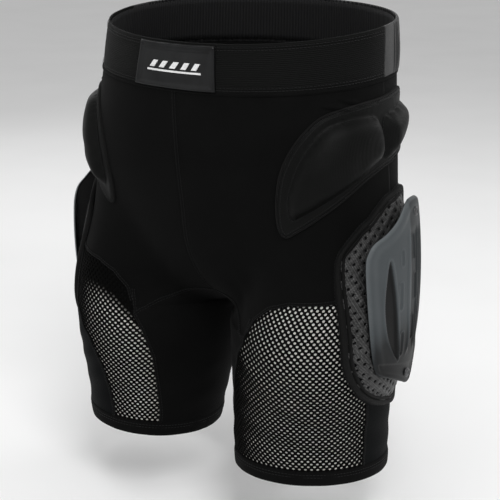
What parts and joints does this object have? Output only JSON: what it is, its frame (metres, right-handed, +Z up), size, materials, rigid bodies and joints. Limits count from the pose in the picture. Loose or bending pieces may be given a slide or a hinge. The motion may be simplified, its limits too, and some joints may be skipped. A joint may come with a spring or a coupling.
{
  "type": "padded impact shorts",
  "caption": "Stretch under-shorts for snow sports with mesh thighs, sewn hip and tailbone pads, and framed thigh pads under hard plastic shells.",
  "frame": {"origin": "centre of the waist opening, level with the top of the waistband at the sides", "axes": "+Z up towards the wearer's waist, -Y to the wearer's front, +X to the wearer's left"},
  "size_m": [0.385, 0.2459, 0.4493],
  "materials": {
    "waistband": "flat woven elastic",
    "elastic": "plain elastic",
    "label": "satin rubber",
    "emblem": "satin print",
    "stretch_fabric": "matt knit",
    "side_fabric": "smooth stretch knit",
    "mesh": "open mesh",
    "lining": "thin pale knit",
    "pad_cover": "smooth stretch cover",
    "foam": "closed cell foam",
    "binding": "piped tape",
    "woven_cover": "coated twill",
    "shell": "satin moulded",
    "rivet": "satin"
  },
  "bodies": {
    "pelvis": {"waistband_front": "waistband", "waistband_back": "waistband", "waist_elastic": "elastic", "label_patch": "label", "label_emblem": "emblem", "front_panel_left": "stretch_fabric", "front_panel_right": "stretch_fabric", "seat_panel_left": "stretch_fabric", "seat_panel_right": "stretch_fabric", "hip_pad_foam_front_left": "foam", "hip_pad_foam_front_right": "foam", "hip_pad_foam_rear_left": "foam", "hip_pad_foam_rear_right": "foam", "hip_pad_cover_left": "pad_cover", "hip_pad_cover_right": "pad_cover", "tailbone_pad_foam": "foam", "tailbone_pad_cover": "pad_cover", "crotch_gusset": "stretch_fabric"},
    "leg_left": {"crease_panel_left": "stretch_fabric", "inner_thigh_panel_left": "stretch_fabric", "thigh_mesh_left": "mesh", "mesh_lining_left": "lining", "outer_thigh_panel_left": "side_fabric", "back_thigh_panel_left": "stretch_fabric", "hem_cuff_left": "stretch_fabric", "thigh_pad_binding_left": "binding", "thigh_pad_foam_left": "foam", "thigh_pad_cover_left": "woven_cover", "thigh_shell_left": "shell", "shell_rivets_left": "rivet"},
    "leg_right": {"crease_panel_right": "stretch_fabric", "inner_thigh_panel_right": "stretch_fabric", "thigh_mesh_right": "mesh", "mesh_lining_right": "lining", "outer_thigh_panel_right": "side_fabric", "back_thigh_panel_right": "stretch_fabric", "hem_cuff_right": "stretch_fabric", "thigh_pad_binding_right": "binding", "thigh_pad_foam_right": "foam", "thigh_pad_cover_right": "woven_cover", "thigh_shell_right": "shell", "shell_rivets_right": "rivet"}
  },
  "joints": [
    {"name": "hip_left", "type": "hinge", "parent": "pelvis", "child": "leg_left", "pos_m": [0.09, 0, -0.19], "axis": [-1, 0, 0], "range_deg": [-12, 45], "stiffness_Nm_per_rad": 0.8, "deforming": ["crease_panel_left", "crotch_gusset"]},
    {"name": "hip_right", "type": "hinge", "parent": "pelvis", "child": "leg_right", "pos_m": [-0.09, 0, -0.19], "axis": [-1, 0, 0], "range_deg": [-12, 45], "stiffness_Nm_per_rad": 0.8, "deforming": ["crease_panel_right", "crotch_gusset"]}
  ]
}
